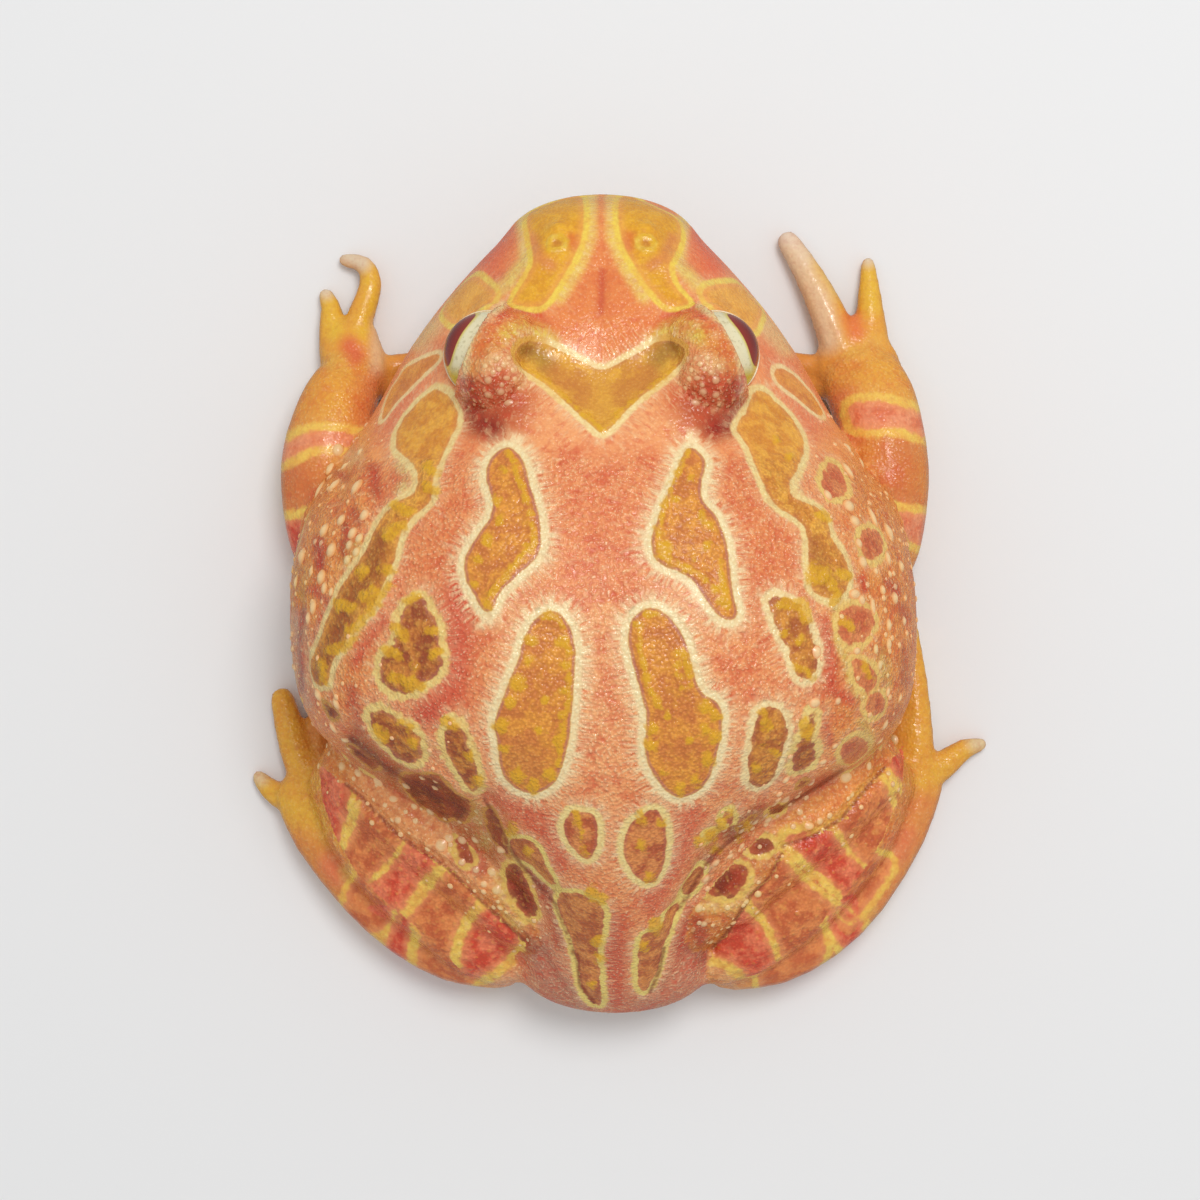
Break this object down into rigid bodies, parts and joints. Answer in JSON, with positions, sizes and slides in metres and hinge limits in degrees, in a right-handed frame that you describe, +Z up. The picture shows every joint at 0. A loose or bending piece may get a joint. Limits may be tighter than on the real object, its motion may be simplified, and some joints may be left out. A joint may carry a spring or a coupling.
{
  "type": "argentine horned frog, life-size still model",
  "caption": "Squat round frog with a wide flat head, blunt horned eyelids and folded legs, resting on its belly, as a still life-size model.",
  "frame": {"origin": "on the floor under the middle of the model's box", "axes": "+Z up, -Y the way the frog looks, +X the frog's left side"},
  "size_m": [0.1044, 0.1136, 0.0486],
  "materials": {
    "skin": "moist warty skin, orange-red with olive-orange blotches in cream rims",
    "limb_skin": "moist skin, golden orange with red and yellow cross bands",
    "throat_skin": "moist smooth skin, pale yellow",
    "eye": "wet gloss, maroon pupil in a pale iris"
  },
  "bodies": {
    "root": {"torso": "skin", "head": "skin", "lower_jaw": "throat_skin", "upper_lid_left": "skin", "upper_lid_right": "skin", "eye_left": "eye", "eye_right": "eye", "upper_arm_left": "limb_skin", "upper_arm_right": "limb_skin", "forearm_left": "limb_skin", "forearm_right": "limb_skin", "hand_left": "limb_skin", "hand_right": "limb_skin", "thigh_left": "limb_skin", "thigh_right": "limb_skin", "shank_left": "limb_skin", "shank_right": "limb_skin", "foot_left": "limb_skin", "foot_right": "limb_skin"}
  },
  "joints": []
}
